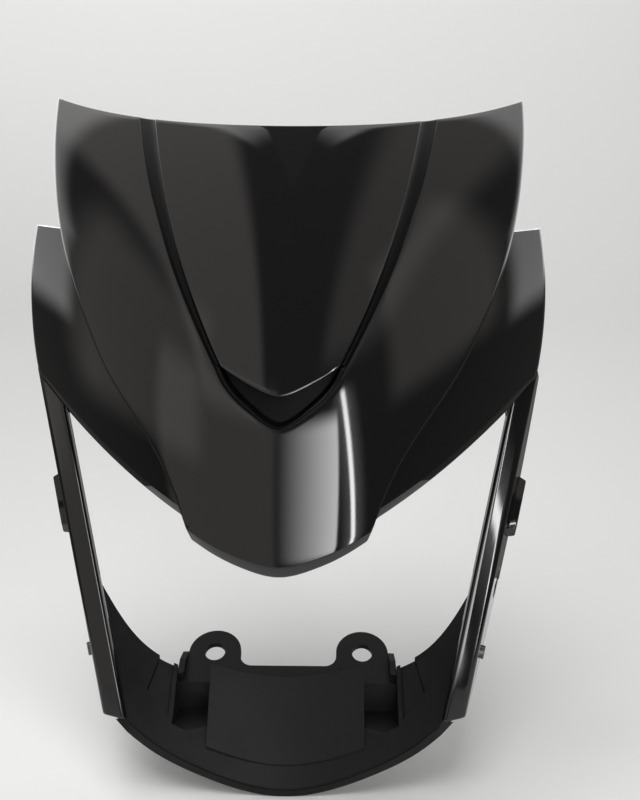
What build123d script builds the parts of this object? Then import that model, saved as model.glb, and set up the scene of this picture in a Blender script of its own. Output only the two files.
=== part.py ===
"""Headlight cowl: a gloss front moulding, a matt lower cover and its screws.

The front faces -Y and +Z is up.  X = 0 is the plane of symmetry.  Millimetres.
The front skin is one surface that leans back with height and wraps back sideways, both as
squares.  Panels, steps and channels are regions of the XZ plane, each set back from that
surface by its own amount.
"""

import os

from math import cos, radians, sin
from build123d import *

# Front skin
wall = 2.5                  # moulding thickness
skin_half = 185.0           # half width of the skin surface
skin_low = -110.0           # lowest height of the skin surface
skin_high = 195.0           # greatest height of the skin surface
nose_z = -90.0              # height at which the middle of the skin stands upright
skin_lean = 107.4           # how far the top edge's middle lies behind the nose
wrap_high = 14.65           # how far the skin wraps back at the visor's half width, at its top
wrap_low = 106.6            # the same at its bottom
prism_front = 60.0          # room for cuts in front of the nose
prism_length = 360.0        # length of the cuts, front to back
rim_depth = 13.5            # depth of the turned-in edge of the visor

# Visor
visor_top_mid = 149.0       # height of the top edge in the middle
visor_top_rise = 22.0       # how much higher the top corners stand
visor_half = 149.0          # half width at the top corners
shoulder_rise = 5.06        # how much higher the top edge stands at the channels
visor_temple_half = 145.1   # half width between the top corners and the waist
visor_temple_z = 131.0      # height of that width
visor_waist_half = 136.0    # half width beside the wing tops
visor_waist_z = 89.0        # height of that width
visor_brow_half = 104.0     # half width where the edge turns towards the nose
visor_brow_z = 20.0         # height of that width
visor_cheek_half = 62.0     # half width just above the nose corners
visor_cheek_z = -37.0       # height of that width
nose_half = 46.5            # half width of the nose corners
nose_corner_z = -72.5       # height of the nose corners
nose_chin_half = 22.0       # a point on the nose's lower edge
nose_chin_z = -84.0         # height of that point
nose_tip_z = -89.2          # lowest height of the nose
nose_bevel_height = 6.5     # height of the bevel along the nose's lower edge
nose_bevel_depth = 3.0      # depth of that bevel
visor_bevel = 1.6           # bevel of the visor's side edges

# Channels and the pocket that joins them
channel_depth = 2.2         # depth of the two long channels
channel_top_half = 80.0     # inner edge of a channel at the top edge
channel_top_width = 11.0    # width of a channel at the top edge
channel_mid_half = 56.5     # inner edge of a channel half way down
channel_mid_width = 4.8     # width of a channel half way down
channel_mid_z = 74.0        # height of the half-way point
channel_over = 45.0         # how far the cut for a channel runs on above the top edge
channel_spread = 8.0        # how far it moves outwards over that
pocket_depth = 10.0         # depth of the pocket above the nose
pocket_half = 30.5          # half width of the pocket
pocket_cheek_half = 29.8    # a point on the pocket's lower edge, near its end
pocket_cheek_z = 8.7        # height of that point
pocket_side_half = 16.1     # a point on the pocket's lower edge, near its middle
pocket_side_z = -4.0        # height of that point
pocket_lip_side_z = 10.6    # height of the upper lip half way to the ends
shelf = 2.0                 # width of the shelf between the pocket and the nose
channel_foot_half = 36.1    # outer edge of a channel beside the pocket's end
channel_foot_z = 20.0       # height of that point
channel_run = 6.0           # how far a channel's cut runs on into the pocket
pocket_end_z = 18.5         # height of the pocket ends
pocket_foot = 0.7           # share of the height between that point and the ends that the ends keep
pocket_lip_z = 5.3          # height of the pocket's upper lip in the middle
pocket_floor_z = -12.0      # height of the pocket's lower edge in the middle

# Wings
wing_step = 8.0             # how far the wings lie behind the visor
wing_rim_depth = 12.0       # depth of the turned-in edge of a wing
wing_top_half = 158.0       # half width at the upper outer corners
wing_top_z = 91.0           # height of the upper outer corners
wing_mid_half = 161.5       # greatest half width
wing_mid_z = 46.0           # height of the greatest width
wing_low_half = 156.5       # half width at the lower outer corners
wing_low_z = -2.0           # height of the lower outer corners
wing_brow_half = 112.0      # a point on the lower edge
wing_brow_z = -31.0         # height of that point
wing_tip_half = 46.0        # inner end of the lower edge
wing_tip_z = -67.0          # height of the inner end
wing_root_half = 95.2       # inner end of the upper edge, behind the visor
wing_root_z = 84.0          # height of that end
wing_bevel = 2.0            # bevel of the wing's outer edge
wing_bevel_height = 5.0     # height of the bevel along the wing's lower edge
wing_bevel_depth = 3.0      # depth of that bevel

# Arms
arm_top_half = 156.0                        # upper end of an arm's outer edge
arm_top_y = 104.0
arm_top_z = 0.0
arm_end_half = 111.5                        # lower end of an arm's outer edge
arm_end_y = 52.0
arm_end_z = -203.5
arm_start = -4.0                            # where an arm starts along that edge, inside the wing
arm_flare = 20.0                            # outward lean of the side wall, in degrees
arm_strip = 12.5                            # width of the front strip
arm_slant = 6.0                             # how much longer the strip is on its inner side
arm_round = 2.0                             # rounding of the strip's edges
arm_lip = 6.0                               # depth of the strip's turned-in inner edge
arm_web_length = 40.0                       # web between a wing and an arm's lip, along the arm
arm_web_width = 10.0                        # width of that web at its upper end
arm_depth_top = 30.0                        # depth of the side wall at the wing
arm_depth_mid = 66.0                        # greatest depth of the side wall
arm_depth_end = 10.0                        # depth of the side wall at the tip
arm_mid_at = 112.0                          # distance of the greatest depth from the wing
arm_rise_share = 0.75                       # share of the depth's rise gained at arm_rise_at
arm_rise_at = 0.4                           # share of the way from the wing to the greatest depth
arm_fall_share = 0.3                        # share of the depth's fall lost half way to the tip
side_hole_at = 135.0                        # distance of the side hole from the wing
side_hole_back = 36.0                       # distance of the side hole behind the strip
side_hole_radius = 3.0                      # through hole
side_recess_radius = 10.0                   # round recess about the hole
side_recess_depth = 5.0                     # depth of that recess
side_boss_sides = 8                         # number of sides of the boss behind the recess
blister_at = 84.0                           # distance of the blister from the wing
blister_back = 47.0                         # distance of the blister behind the strip
blister_length = 42.0                       # length of the blister along the arm
blister_width = 14.0                        # width of the blister
blister_height = 5.0                        # how far the blister stands out
blister_draft = 20.0                        # slope of its sides, in degrees
blister_low = 0.7                           # where its sides start to close at the lower end
blister_high = -0.1                         # where they start to close at the upper end

# Lower cover
cover_front = 57.0          # front of the trough
cover_rear = 95.0           # rear of the trough
cover_rim_half = 104.0      # half width of the front rim
cover_rim_end_z = -205.0    # height of the rim at its ends
cover_rim_z = -260.0        # lowest point of the rim
cover_rear_half = 116.0     # half width of the rear edge
cover_rear_end_z = -148.0   # height of the rear edge at its ends
cover_rear_z = -213.0       # lowest point of the rear edge
cover_rim_bend = ((0.5, 0.27), (0.8, 0.62))     # rim's curve: shares of its half width and rise
cover_rear_bend = ((0.4, 0.12), (0.8, 0.47))    # the same for the rear edge
cover_over = 16.0           # how far both curves run on sideways past their ends
cover_rim_over = 16.0       # how far the rim's curve rises over that
cover_rear_over = 34.0      # how far the rear edge's curve rises over that
cover_wall = 2.6            # moulding thickness
bead_height = 0.6           # how far the bead along the rim stands out, above and below
bead_depth = 2.0            # how far that bead stands in front of the rim
panel_depth = 1.0           # depth of the sunk panels about the notches
panel_half = 90.0           # outer end of a sunk panel
panel_front = 62.0          # inner front corner of a sunk panel
apron_half = 51.0           # half width of the raised apron
apron_front = 66.0          # where the apron leaves the trough
apron_rise = 9.0            # height of the apron's rear edge above the trough
ear_spacing = 102.0         # distance between the ear holes
ear_hole_y = 115.0          # ear holes
ear_hole_z = -197.5
ear_hole_radius = 7.0       # grommet hole
ear_radius = 18.0           # rounded end of an ear
ear_thick = 4.0             # plate thickness at the ears
ear_tilt = 22.0             # lean of the ear plates, in degrees
notch_width = 22.0          # width of the notch at each ear's foot
notch_front = 69.0          # front of the notches
notch_floor_z = -227.0      # floor of the notches
bar_width = 11.4            # width of the bar between the ears
bar_round = 8.0             # rounding between the bar and the ears
gusset_height = 7.0         # height of the web beside each ear
gusset_thick = 4.0          # thickness of that web
tab_length = 44.0           # length of a tab along the arm
tab_width = 20.0            # width of a tab
strip_clearance = 0.5       # gap between the cover and the arm's strip

# Screws
screw_at = 178.0            # distance of a screw from the wing
screw_back = 20.0           # distance of a screw behind the strip
screw_radius = 2.0          # shank
screw_clearance = 0.3       # gap about the shank in the arm
screw_head_radius = 4.2
screw_head_height = 2.4
screw_length = 8.0
screw_slot = 1.0            # width of the cross slots


curl = skin_lean / (visor_top_mid - nose_z) ** 2


def bow(z):
    """Sideways curve of the skin at a height."""
    wrap = wrap_low + (wrap_high - wrap_low) * (z - skin_low) / (skin_high - skin_low)
    return wrap / visor_half ** 2


def skin_y(x, z):
    """Depth of the skin at a place on the XZ plane."""
    return curl * (z - nose_z) ** 2 + bow(z) * x ** 2


def skin_slab(back, thick):
    """Layer of the skin: it starts the given distance behind the front and is thick front to back.

    The surface is quadratic both ways, so a three by three Bezier net carries it exactly.
    """
    middle = (skin_low + skin_high) / 2
    columns = ((-skin_half, skin_half ** 2), (0.0, -skin_half ** 2), (skin_half, skin_half ** 2))
    rows = ((skin_low, skin_low ** 2), (middle, skin_low * skin_high), (skin_high, skin_high ** 2))
    net = []
    for x, xx in columns:
        lean = [curl * (zz - 2 * nose_z * z + nose_z ** 2) + bow(z) * xx for z, zz in rows]
        net.append([(x, back + y, z) for y, (z, _) in zip(lean, rows)])
    return extrude(Face.make_bezier_surface(net), amount=thick, dir=(0, 1, 0))


def prism(face):
    """Solid running front to back behind a face drawn on the XZ plane."""
    return extrude(Plane.XZ.offset(prism_front) * face, amount=-prism_length)


def flip(points):
    """The same points on the other side of the plane of symmetry."""
    return [(-x, z) for x, z in points]


def region(*runs):
    """Face inside runs of points: two points give a line, more give a smooth curve."""
    edges = [Line(*run) if len(run) == 2 else Spline(*run) for run in runs]
    return make_face(Curve() + edges)


def inset(runs, depth):
    """Clockwise runs moved inwards by depth, so that they meet again in mitred corners."""
    traced = []
    for run in runs:
        curve = Line(*run) if len(run) == 2 else Spline(*run)
        count = 1 if len(run) == 2 else 2 * len(run)
        steps = [i / count for i in range(count + 1)]
        traced.append([(curve @ t, Vector((curve % t).Y, -(curve % t).X)) for t in steps])
    moved = []
    for k, trace in enumerate(traced):
        before = traced[k - 1][-1][1]
        after = traced[(k + 1) % len(traced)][0][1]
        shifts = [normal for _, normal in trace]
        shifts[0] = (before + shifts[0]) / (1 + before.dot(shifts[0]))
        shifts[-1] = (shifts[-1] + after) / (1 + shifts[-1].dot(after))
        points = [place + shift * depth for (place, _), shift in zip(trace, shifts)]
        moved.append([(point.X, point.Y) for point in points])
    return moved


def front_face(shape):
    """Front of a block: of its two largest faces, the nearer one."""
    return shape.faces().sort_by(SortBy.AREA)[-2:].sort_by(Axis.Y)[0]


def front_edges(shape, back):
    """Edges of a block that lie on the skin surface, set back by the given amount."""
    found = []
    for edge in shape.edges():
        middle = edge @ 0.5
        if abs(middle.Y - back - skin_y(middle.X, middle.Z)) < 0.2 * wall:
            found.append(edge)
    return found


def mirrored(shape):
    """A shape together with its mirror image."""
    return shape + mirror(shape, about=Plane.YZ)


# Visor
top_corner = (visor_half, visor_top_mid + visor_top_rise)
top_shoulder = (channel_top_half, visor_top_mid + shoulder_rise)
top_run = flip([top_corner, top_shoulder]) + [(0, visor_top_mid), top_shoulder, top_corner]
side_run = [
    top_corner,
    (visor_temple_half, visor_temple_z),
    (visor_waist_half, visor_waist_z),
    (visor_brow_half, visor_brow_z),
    (visor_cheek_half, visor_cheek_z),
    (nose_half, nose_corner_z),
]
nose_corner = (nose_half, nose_corner_z)
nose_chin = (nose_chin_half, nose_chin_z)
nose_run = [nose_corner, nose_chin, (0, nose_tip_z)] + flip([nose_chin, nose_corner])
visor_runs = [top_run, side_run, nose_run, flip(side_run[::-1])]


def channel_face(grow):
    """Channel region, from above the top edge down to the pocket's end, grown on all sides."""
    over_z = visor_top_mid + channel_over
    shoulder_z = visor_top_mid + shoulder_rise
    foot_z = pocket_end_z - channel_run - grow
    inner = [
        (channel_top_half + channel_spread - grow, over_z),
        (channel_top_half - grow, shoulder_z),
        (channel_mid_half - grow, channel_mid_z),
        (pocket_half - 0.5 * channel_run - grow, foot_z),
    ]
    outer = [
        (channel_top_half + channel_top_width + channel_spread + grow, over_z),
        (channel_top_half + channel_top_width + grow, shoulder_z),
        (channel_mid_half + channel_mid_width + grow, channel_mid_z),
        (channel_foot_half + grow, channel_foot_z),
        (pocket_cheek_half + grow, foot_z),
    ]
    return region(inner, outer, [inner[0], outer[0]], [inner[-1], outer[-1]])


def pocket_face(grow, margin=0.0):
    """Boomerang region between the channel ends, grown on all sides, less a margin below the lip."""
    end = (pocket_half + grow, pocket_end_z + grow)
    foot = (pocket_half + grow, pocket_cheek_z + pocket_foot * (pocket_end_z - pocket_cheek_z) - grow)
    cheek = (pocket_cheek_half - margin + grow, pocket_cheek_z + margin / 2 - grow)
    side = (pocket_side_half - margin / 2 + grow, pocket_side_z + margin - grow)
    lip = (pocket_half / 2, pocket_lip_side_z + grow)
    lip_run = flip([end, lip]) + [(0, pocket_lip_z + grow), lip, end]
    floor_run = [foot, cheek, side, (0, pocket_floor_z + margin / 4 - grow)] + flip([side, cheek, foot])
    return region(lip_run, [end, foot], floor_run, flip([foot, end]))


visor_block = prism(region(*visor_runs)) & skin_slab(0, rim_depth)
nose_edges = [edge for edge in front_edges(visor_block, 0) if (edge @ 0.5).Z < nose_corner_z]
visor_block = chamfer(
    nose_edges, length=nose_bevel_height, length2=nose_bevel_depth, reference=front_face(visor_block),
)
side_edges = [edge for edge in front_edges(visor_block, 0) if nose_corner_z < (edge @ 0.5).Z < visor_waist_z]
visor_block = chamfer([edge for edge in side_edges if edge.length > nose_half], length=visor_bevel)
hollow = prism(region(*inset(visor_runs, wall))) & skin_slab(wall, rim_depth)
hollow -= mirrored(prism(channel_face(wall))) & skin_slab(-wall, channel_depth + 2 * wall)
hollow -= prism(pocket_face(wall)) & skin_slab(-wall, channel_depth + 2 * wall)
hollow -= prism(pocket_face(wall, shelf)) & skin_slab(-wall, pocket_depth + 2 * wall)
visor = visor_block - hollow
visor -= mirrored(prism(channel_face(0))) & skin_slab(-wall, channel_depth + wall)
visor -= prism(pocket_face(0)) & skin_slab(-wall, channel_depth + wall)
visor -= prism(pocket_face(0, shelf)) & skin_slab(-wall, pocket_depth + wall)

# Wings: their inner edges end inside the visor's rim
wing_tip = (wing_tip_half, wing_tip_z)
wing_top = (wing_top_half, wing_top_z)
wing_low = (wing_low_half, wing_low_z)
wing_root = (wing_root_half, wing_root_z)
wing_runs = [
    [wing_root, wing_top],
    [wing_top, (wing_mid_half, wing_mid_z), wing_low],
    [wing_low, (wing_brow_half, wing_brow_z), wing_tip],
    [wing_tip, wing_root],
]
wing = prism(region(*wing_runs)) & skin_slab(wing_step, wing_rim_depth)
low_edges = [edge for edge in front_edges(wing, wing_step) if (edge @ 0.5).Z < wing_low_z]
wing = chamfer(
    low_edges, length=wing_bevel_height, length2=wing_bevel_depth, reference=front_face(wing),
)
side_edges = [edge for edge in front_edges(wing, wing_step) if (edge @ 0.5).Z < wing_top_z]
wing = chamfer(max(side_edges, key=lambda edge: (edge @ 0.5).X), length=wing_bevel)
wing -= prism(region(*inset(wing_runs, wall))) & skin_slab(wing_step + wall, wing_rim_depth)
wing -= prism(region(*inset(visor_runs, wall / 2)))

# Arms: a front strip and a side wall, both flat, that share the arm's outer edge
arm_top = Vector(arm_top_half, arm_top_y, arm_top_z)
arm_end = Vector(arm_end_half, arm_end_y, arm_end_z)
arm_along = (arm_end - arm_top).normalized()
arm_length = (arm_end - arm_top).length
flare_way = Vector(sin(radians(arm_flare)), cos(radians(arm_flare)), 0)
flare_way = (flare_way - arm_along * flare_way.dot(arm_along)).normalized()
inward_way = Vector(-1, 0, 0)
inward_way = (inward_way - arm_along * inward_way.dot(arm_along)).normalized()
side_plane = Plane(origin=arm_top, x_dir=arm_along, z_dir=arm_along.cross(flare_way))
strip_plane = Plane(origin=arm_top, x_dir=arm_along, z_dir=arm_along.cross(inward_way))

rear_run = [
    (arm_start, arm_depth_top),
    (arm_rise_at * arm_mid_at, arm_depth_top + arm_rise_share * (arm_depth_mid - arm_depth_top)),
    (arm_mid_at, arm_depth_mid),
    (0.5 * (arm_mid_at + arm_length), arm_depth_mid + arm_fall_share * (arm_depth_end - arm_depth_mid)),
    (arm_length, arm_depth_end),
]
side_face = region(
    rear_run,
    [(arm_length, arm_depth_end), (arm_length, 0)],
    [(arm_length, 0), (arm_start, 0)],
    [(arm_start, 0), (arm_start, arm_depth_top)],
)
strip_face = make_face(Polyline(
    (arm_start, 0), (arm_length, 0), (arm_length + arm_slant, arm_strip), (arm_start, arm_strip), close=True,
))
lip_slant = arm_slant * (1 - wall / arm_strip)
lip_face = make_face(Polyline(
    (arm_start, arm_strip - wall), (arm_length + lip_slant, arm_strip - wall),
    (arm_length + arm_slant, arm_strip), (arm_start, arm_strip), close=True,
))
arm = extrude(side_plane * side_face, amount=-wall)
arm += extrude(strip_plane * strip_face, amount=wall)
arm += extrude(strip_plane * lip_face, amount=arm_lip)
web_face = make_face(Polyline(
    (arm_start, arm_strip - wall), (arm_start + arm_web_length, arm_strip - wall),
    (arm_start, arm_strip + arm_web_width), close=True,
))
arm += extrude(strip_plane.offset(arm_lip - wall) * web_face, amount=wall)
strip_edges = []
for edge in arm.edges():
    place = strip_plane.to_local_coords(edge @ 0.5)
    if abs(place.Z) < 0.1 * wall and edge.length > 0.9 * arm_length:
        strip_edges.append(edge)
arm = fillet(strip_edges, radius=arm_round)

# Blister and recessed hole in the side wall


def blister_face(shrink):
    """Long six-sided outline of the blister, blunter at its lower end, shrunk on all sides."""
    half = 0.5 * blister_length - 2 * shrink
    side = 0.5 * blister_width - shrink
    right = [(half, 0), (blister_low * half, side), (blister_high * half, side), (-half, 0)]
    left = [(blister_high * half, -side), (blister_low * half, -side)]
    return make_face(Polyline(*right, *left, close=True))


blister_place = side_plane * Pos(blister_at, blister_back)
arm += extrude(blister_place * blister_face(0), amount=blister_height, taper=blister_draft)
arm -= extrude(
    blister_place * Pos(0, 0, -wall) * blister_face(0.5 * wall), amount=blister_height, taper=blister_draft,
)
hole_place = side_plane * Pos(side_hole_at, side_hole_back)
boss_depth = side_recess_depth + wall
boss_face = RegularPolygon(side_recess_radius + wall, side_boss_sides, major_radius=False)
arm += extrude(hole_place * boss_face, amount=-boss_depth)
arm -= extrude(hole_place * Circle(side_recess_radius), amount=-side_recess_depth)
arm -= extrude(hole_place * Circle(side_hole_radius), amount=-boss_depth)
screw_place = side_plane * Pos(screw_at, screw_back)
arm -= extrude(screw_place * Circle(screw_radius + screw_clearance), amount=-2 * wall)

front_cowl = visor + mirrored(wing + arm)

# Lower cover: a trough lofted from the front rim to the rear edge


def cover_run(half, low, high, bend, over):
    """Half of a trough curve, from its lowest point past its end."""
    bends = [(half * across, low + (high - low) * up) for across, up in bend]
    return [(0, low)] + bends + [(half, high), (half + cover_over, high + over)]


front_run = cover_run(cover_rim_half, cover_rim_z, cover_rim_end_z, cover_rim_bend, cover_rim_over)
rear_edge_run = cover_run(cover_rear_half, cover_rear_z, cover_rear_end_z, cover_rear_bend, cover_rear_over)


def band(y, rise, depth):
    """Face across the trough at y: it starts a rise above the upper surface and is a depth thick."""
    share = (y - cover_front) / (cover_rear - cover_front)
    pairs = zip(front_run, rear_edge_run)
    run = [(a + (c - a) * share, b + (d - b) * share + rise) for (a, b), (c, d) in pairs]
    upper = flip(run[:0:-1]) + run
    lower = [(x * (1 + depth / cover_rear_half), z - depth) for x, z in upper]
    face = region(upper, lower, [upper[0], lower[0]], [upper[-1], lower[-1]])
    return Plane.XZ.offset(-y) * face


def layer(start, stop, rises, depths):
    """Layer of the trough between two depths, with its rise and thickness at either end."""
    return loft([band(start, rises[0], depths[0]), band(stop, rises[1], depths[1])], ruled=True)


def tall_box(half, start, stop, low=cover_rim_z):
    """Box about the plane of symmetry, between two depths and above a height."""
    high = arm_top_z
    return Pos(0, (start + stop) / 2, (low + high) / 2) * Box(2 * half, stop - start, high - low)


lower_cover = layer(cover_front, cover_rear, (0, 0), (cover_wall, cover_wall))
bead_face = band(cover_front, bead_height, cover_wall + 2 * bead_height)
lower_cover += extrude(bead_face, amount=bead_depth, dir=(0, -1, 0))

# Sunk panels on either side of the apron
panel_face = make_face(Polyline(
    (0, panel_front), (apron_half, panel_front), (panel_half, 0.5 * (cover_front + cover_rear)),
    (panel_half - panel_front + cover_front, cover_rear), (0, cover_rear), close=True,
))
panel_prism = extrude(Plane.XY.offset(cover_rim_z) * panel_face, amount=arm_top_z - cover_rim_z)
panel_cut = cover_wall + panel_depth
panel_layer = layer(cover_front, cover_rear, (cover_wall, cover_wall), (panel_cut, panel_cut))
lower_cover -= mirrored(panel_prism & panel_layer)

# Apron: a raised part of the trough between the notches, hollow from below
apron = layer(apron_front, cover_rear, (0, apron_rise), (cover_wall, apron_rise + cover_wall))
hollow_rises = (-cover_wall, apron_rise - cover_wall)
hollow_depths = (2 * cover_wall, apron_rise + 2 * cover_wall)
apron_hollow = layer(apron_front, cover_rear, hollow_rises, hollow_depths)
lower_cover += apron & tall_box(apron_half, apron_front, cover_rear)
lower_cover -= apron_hollow & tall_box(apron_half - cover_wall, apron_front, cover_rear - cover_wall)

# The trough stops at the inner faces of the arms and stays behind their strips
reach = 4 * arm_length
inner_plane = side_plane.offset(-wall)
beyond_arm = extrude(inner_plane * Rectangle(reach, reach), amount=reach)
strip_zone = Rectangle(reach, 2 * (arm_strip + strip_clearance))
before_strip = extrude(strip_plane.offset(arm_lip + strip_clearance) * strip_zone, amount=-reach)
lower_cover -= mirrored(beyond_arm + before_strip)

# Tabs that lie against the arms and take the screws
tab_low = screw_at + 0.5 * tab_length
tab_high = screw_at - 0.5 * tab_length
tab_face = make_face(Polyline(
    (tab_high, screw_back - 0.5 * tab_width), (tab_high, screw_back + 0.5 * tab_width),
    (tab_low, screw_back + 0.3 * tab_width), (tab_low, screw_back - 0.5 * tab_width), close=True,
))
tab = extrude(inner_plane * tab_face, amount=-cover_wall)
tab -= extrude(inner_plane * Pos(screw_at, screw_back) * Circle(screw_radius), amount=-cover_wall)
lower_cover += mirrored(tab)

# Plane of the leaning ears: its origin is midway between their holes
ear_x = ear_spacing / 2
ear_plane = Plane(
    origin=(0, ear_hole_y, ear_hole_z),
    x_dir=(1, 0, 0),
    z_dir=(0, -sin(radians(ear_tilt)), cos(radians(ear_tilt))),
)

# Notches: each has a level floor, two sides and a back that ends at the ear
notch_high = layer(cover_front, cover_rear, (0, 0), (ear_spacing, ear_spacing))
notch_far = apron_half + notch_width
inside = tall_box(apron_half - cover_wall, cover_front, cover_rear)
shell = tall_box(notch_far + cover_wall, notch_front - cover_wall, cover_rear, notch_floor_z - cover_wall)
lower_cover += (shell - inside) & notch_high
inside = tall_box(apron_half, cover_front, ear_hole_y)
lower_cover -= tall_box(notch_far, notch_front, cover_rear - cover_wall, notch_floor_z) - inside
above_ears = extrude(ear_plane * Rectangle(2 * notch_far, 2 * ear_hole_y), amount=ear_spacing)
lower_cover -= (above_ears & tall_box(notch_far, notch_front, cover_rear)) - inside

# Leaning plate with the two ears
plate_front = -(ear_hole_y - cover_rear + 0.3 * cover_wall) / cos(radians(ear_tilt))
plate_rear = plate_front + bar_width
plate_half = ear_x + ear_radius
plate = Pos(0, 0.5 * (plate_front + plate_rear)) * Rectangle(2 * plate_half, bar_width)
for side in (-1, 1):
    plate += Pos(side * ear_x, 0.5 * plate_front) * Rectangle(2 * ear_radius, -plate_front)
    plate += Pos(side * ear_x, 0) * Circle(ear_radius)
    plate -= Pos(side * ear_x, 0) * Circle(ear_hole_radius)
bar_corner = Vector(ear_x - ear_radius, plate_rear)
corners = [v for v in plate.vertices() if (Vector(abs(v.X), v.Y) - bar_corner).length < 0.1 * ear_thick]
plate = fillet(corners, radius=bar_round)
lower_cover += extrude(ear_plane * plate, amount=-ear_thick)
gusset_face = make_face(Polyline(
    (plate_front, -ear_thick), (0, -ear_thick), (0, 0), (0.5 * plate_front, gusset_height),
    (plate_front, gusset_height), close=True,
))
gusset_start = ear_plane.from_local_coords((plate_half, 0, 0))
gusset_plane = Plane(origin=gusset_start, x_dir=ear_plane.y_dir, z_dir=(1, 0, 0))
lower_cover += mirrored(extrude(gusset_plane * gusset_face, amount=gusset_thick))

# Screws: heads on the arms, shanks through the arms into the tabs
screw = extrude(screw_place * Circle(screw_head_radius), amount=screw_head_height)
screw += extrude(screw_place * Circle(screw_radius), amount=-screw_length)
slot_length = 1.3 * screw_head_radius
slots = Rectangle(slot_length, screw_slot) + Rectangle(screw_slot, slot_length)
screw -= extrude(screw_place * Pos(0, 0, 0.5 * screw_head_height) * slots, amount=screw_head_height)
cover_screws = mirrored(screw)

# The origin is midway between the ear holes, on the plate's upper face
to_origin = Pos(0, -ear_hole_y, -ear_hole_z)
os.makedirs("parts", exist_ok=True)
export_step(to_origin * front_cowl, "parts/front_cowl.step")
export_step(to_origin * lower_cover, "parts/lower_cover.step")
export_step(to_origin * cover_screws, "parts/cover_screws.step")
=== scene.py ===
"""Headlight cowl: a gloss front moulding, its lower cover and screws, built round the packed solids."""

import math
from collections import namedtuple

import bmesh
import bpy
import numpy as np
from mathutils import Matrix, Vector


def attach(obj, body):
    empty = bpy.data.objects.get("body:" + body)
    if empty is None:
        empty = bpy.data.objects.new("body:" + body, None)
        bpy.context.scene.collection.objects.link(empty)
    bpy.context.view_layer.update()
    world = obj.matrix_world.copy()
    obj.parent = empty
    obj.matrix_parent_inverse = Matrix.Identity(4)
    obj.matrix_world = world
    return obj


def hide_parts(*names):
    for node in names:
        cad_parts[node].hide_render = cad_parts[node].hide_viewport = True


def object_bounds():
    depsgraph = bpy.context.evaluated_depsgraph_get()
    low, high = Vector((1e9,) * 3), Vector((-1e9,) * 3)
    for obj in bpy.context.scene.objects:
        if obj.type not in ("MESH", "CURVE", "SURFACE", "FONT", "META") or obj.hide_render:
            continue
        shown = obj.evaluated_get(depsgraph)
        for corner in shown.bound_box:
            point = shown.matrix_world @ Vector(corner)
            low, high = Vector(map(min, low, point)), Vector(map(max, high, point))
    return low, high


bl_info = {
    "name": "Headlight cowl",
    "version": (1, 0, 0),
    "blender": (4, 5, 0),
    "location": "View3D > Sidebar > Cowl",
    "description": "Gloss front moulding, matt lower cover and the stage they are shown on",
    "category": "Add Mesh",
}

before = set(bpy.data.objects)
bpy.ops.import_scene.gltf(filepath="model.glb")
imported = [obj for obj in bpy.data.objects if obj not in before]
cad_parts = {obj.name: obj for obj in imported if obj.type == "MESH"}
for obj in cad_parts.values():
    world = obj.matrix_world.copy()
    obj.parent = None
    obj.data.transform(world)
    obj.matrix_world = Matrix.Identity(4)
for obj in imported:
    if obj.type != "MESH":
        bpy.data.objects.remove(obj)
CAD_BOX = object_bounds()
BODY = "root"

# The drawing's zero, seen from the frame's origin between the ear holes, in metres
DRAWING_ZERO = np.array([0.0, -0.115, 0.1975])

POCKET_CELLS = 56       # cells along half of the pocket
CHANNEL_CELLS = 64      # cells along a channel
NOSE_CELLS = 40         # cells along half of the nose's lower edge
PANEL_CELLS = 26        # cells from the groove to the visor's edge
EDGE_POINTS = 10        # points of an edge's profile, without the wall behind it
WALL_POINTS = 4         # points of the wall behind an edge
TURN_POINTS = EDGE_POINTS // 2   # points of one turn of an edge
WELD = 2e-5             # points closer than this become one, in metres
SHARP = 0.6             # an edge bent by more than this stays sharp, in radians
END_SHARE = 0.08        # share of the pocket over which its end closes
ARM_RISE_AT = 0.4       # place of the wall's rise, as a share of the way to its deepest place
ARM_RISE_SHARE = 0.75   # share of the depth gained there
ARM_FALL_SHARE = 0.3    # share of the depth lost half way to the tip
DOME_RADIUS = 0.34      # radius of the reflector dome, in metres
DOME_MIDDLE = np.array([0.0, 0.03, -0.02])   # middle of the dome from the drawing's zero, in metres
WARM_TINT = np.array([1.0, 0.95, 0.89])

# Colours and values of a finish; marks gives their scale, where their mask starts and is full, and how strong
Finish = namedtuple("Finish", "base mark roughness mottle grain bump shine metal marks")
FINISHES = {
    # polished black paint with a little dust
    "gloss_black": Finish("gloss", "dust", 0.055, 0.05, 60.0, 0.01, 0.5, 0.0, (900.0, 0.68, 0.8, 0.06)),
    # unpainted inside of the front moulding
    "raw_plastic": Finish("raw", "dust", 0.5, 0.12, 1500.0, 0.15, 0.5, 0.0, (220.0, 0.55, 0.8, 0.1)),
    # painted shade: a darker, duller black in the beds of the channels and the pocket, where the paint is
    # really the same gloss as elsewhere
    "groove_painted_shade": Finish("groove", "dust", 0.42, 0.1, 900.0, 0.05, 0.12, 0.0, (500.0, 0.62, 0.8, 0.05)),
    # grained black of the lower cover, rubbed paler in places
    "matt_black": Finish("matt", "scuff", 0.56, 0.15, 2200.0, 0.35, 0.2, 0.0, (90.0, 0.5, 0.8, 0.5)),
    # plated screws
    "dark_steel": Finish("steel", "matt", 0.35, 0.1, 2000.0, 0.05, 0.5, 1.0, (700.0, 0.5, 0.7, 0.6)),
}


def length(label, value, text):
    """A length in metres that the sidebar can change."""
    return bpy.props.FloatProperty(name=label, description=text, default=value, unit="LENGTH", precision=4)


def number(label, value, text):
    """A plain number that the sidebar can change."""
    return bpy.props.FloatProperty(name=label, description=text, default=value, precision=4)


def place(label, value, text):
    """A point in metres that the sidebar can change."""
    return bpy.props.FloatVectorProperty(
        name=label, description=text, default=value, size=3, subtype="TRANSLATION", unit="LENGTH")


def paint(label, value, text):
    """A colour that the sidebar can change."""
    return bpy.props.FloatVectorProperty(
        name=label, description=text, default=value, size=3, subtype="COLOR", min=0.0, max=1.0)


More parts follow.
